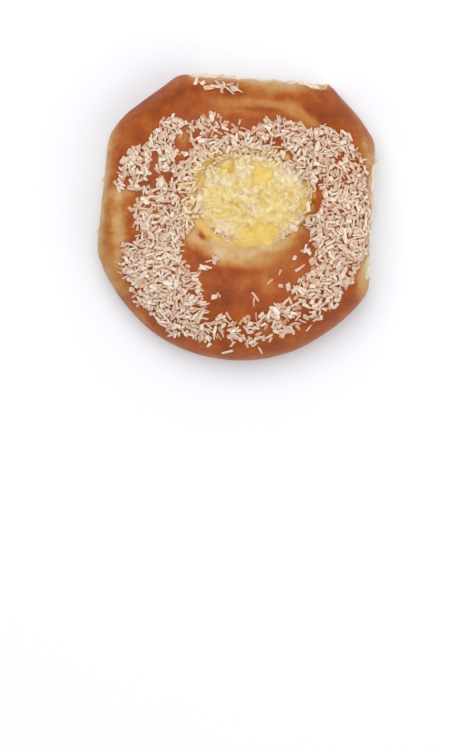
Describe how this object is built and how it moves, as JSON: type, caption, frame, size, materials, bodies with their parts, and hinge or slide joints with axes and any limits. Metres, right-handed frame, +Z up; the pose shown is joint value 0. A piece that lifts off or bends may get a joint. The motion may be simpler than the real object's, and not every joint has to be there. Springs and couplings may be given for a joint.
{
  "type": "custard coconut bun",
  "caption": "Round sweet yeast bun with torn flat sides, a pool of baked custard in a well on top and shredded coconut stuck over its crown.",
  "frame": {"origin": "on the surface the bun stands on, under the middle of its outer box", "axes": "+Z up; +Y towards the torn flat side above the custard, along the bun's longest side; +X to the right as seen from above"},
  "size_m": [0.1224, 0.1253, 0.0352],
  "materials": {
    "crust": "satin browned crust with a thin glaze and cream white coconut",
    "custard": "moist satin pale yellow custard"
  },
  "bodies": {
    "root": {"dough": "crust", "custard": "custard"}
  },
  "joints": []
}
